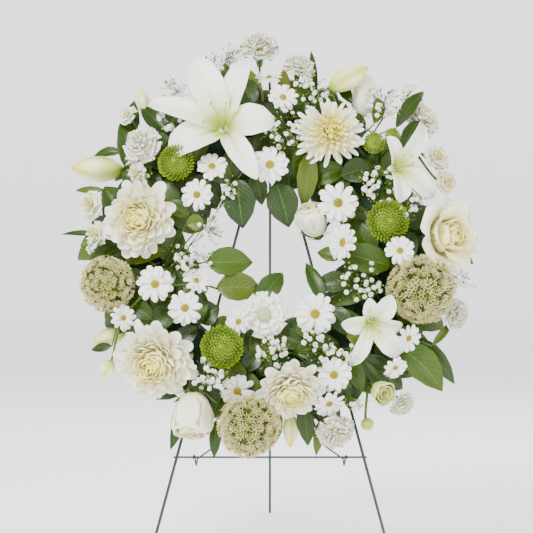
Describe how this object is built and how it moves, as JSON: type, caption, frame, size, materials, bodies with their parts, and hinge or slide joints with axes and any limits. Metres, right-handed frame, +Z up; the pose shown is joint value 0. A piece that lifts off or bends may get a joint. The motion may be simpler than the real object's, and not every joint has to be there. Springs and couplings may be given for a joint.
{
  "type": "funeral wreath on an easel",
  "caption": "Funeral wreath of white, cream and green fresh flowers in a soaked foam ring, on a folding wire easel.",
  "frame": {"origin": "the middle of the bounding box's underside, where the easel stands", "axes": "+Z up, -Y towards the viewer, where the flowers face, and +X to the viewer's right"},
  "size_m": [0.5712, 0.535, 0.7174],
  "materials": {
    "white_petal": "soft matt white petals",
    "cream_petal": "soft matt cream petals, yellower at the heart",
    "green_petal": "matt lime-green florets",
    "cream_green_bloom": "matt cream and pale green florets",
    "gypsophila": "small matt white florets on green stalks",
    "leaf": "glossy dark green leaves with paler veins",
    "green_wire": "dark green enamel on steel wire",
    "tray_plastic": "green moulded plastic",
    "foam": "wet dark green floral foam"
  },
  "bodies": {
    "stand": {"allium_bottom": "cream_green_bloom", "allium_left": "cream_green_bloom", "allium_right": "cream_green_bloom", "carnation_se": "white_petal", "carnations_right": "white_petal", "carnations_top": "white_petal", "daisies_bottom": "white_petal", "daisies_east": "white_petal", "daisies_nw": "white_petal", "daisies_se": "white_petal", "daisies_south": "white_petal", "daisies_top": "white_petal", "daisies_west": "white_petal", "daisy_east_low": "white_petal", "daisy_inner": "white_petal", "daisy_north": "white_petal", "easel_bracket": "green_wire", "easel_crossbar": "green_wire", "easel_leg_left": "green_wire", "easel_leg_right": "green_wire", "easel_top_bar": "green_wire", "foam_ring": "foam", "green_buttons": "green_petal", "green_mum_left": "green_petal", "green_mum_low": "green_petal", "green_mum_right": "green_petal", "gyp_east": "gypsophila", "gyp_inner_left": "gypsophila", "gyp_inner_right": "gypsophila", "gyp_ne": "gypsophila", "gyp_north": "gypsophila", "gyp_nw": "gypsophila", "gyp_right": "gypsophila", "gyp_south": "gypsophila", "gyp_sw": "gypsophila", "leaves_bottom": "leaf", "leaves_inner_left": "leaf", "leaves_inner_right": "leaf", "leaves_inner_top": "leaf", "leaves_ne": "leaf", "leaves_nw": "leaf", "leaves_se": "leaf", "leaves_top": "leaf", "leaves_west": "leaf", "lily_low": "white_petal", "lily_right": "white_petal", "lily_top": "white_petal", "lisianthus_se": "cream_green_bloom", "mum_bottom": "cream_petal", "mum_left": "cream_petal", "mum_low_left": "cream_petal", "mum_top": "cream_petal", "ring_tray": "tray_plastic", "rose_inner": "cream_petal", "rose_low": "cream_petal", "rose_right": "cream_petal", "scabiosa": "white_petal", "stock_nw": "white_petal", "stocks_left": "white_petal"},
    "rear_leg": {"easel_leg_rear": "green_wire"}
  },
  "joints": [
    {"name": "rear_leg_fold", "type": "hinge", "parent": "stand", "child": "rear_leg", "pos_m": [0.00498, -0.02708, 0.57917], "axis": [-1, 0, 0], "range_deg": [0, 39.5]}
  ]
}
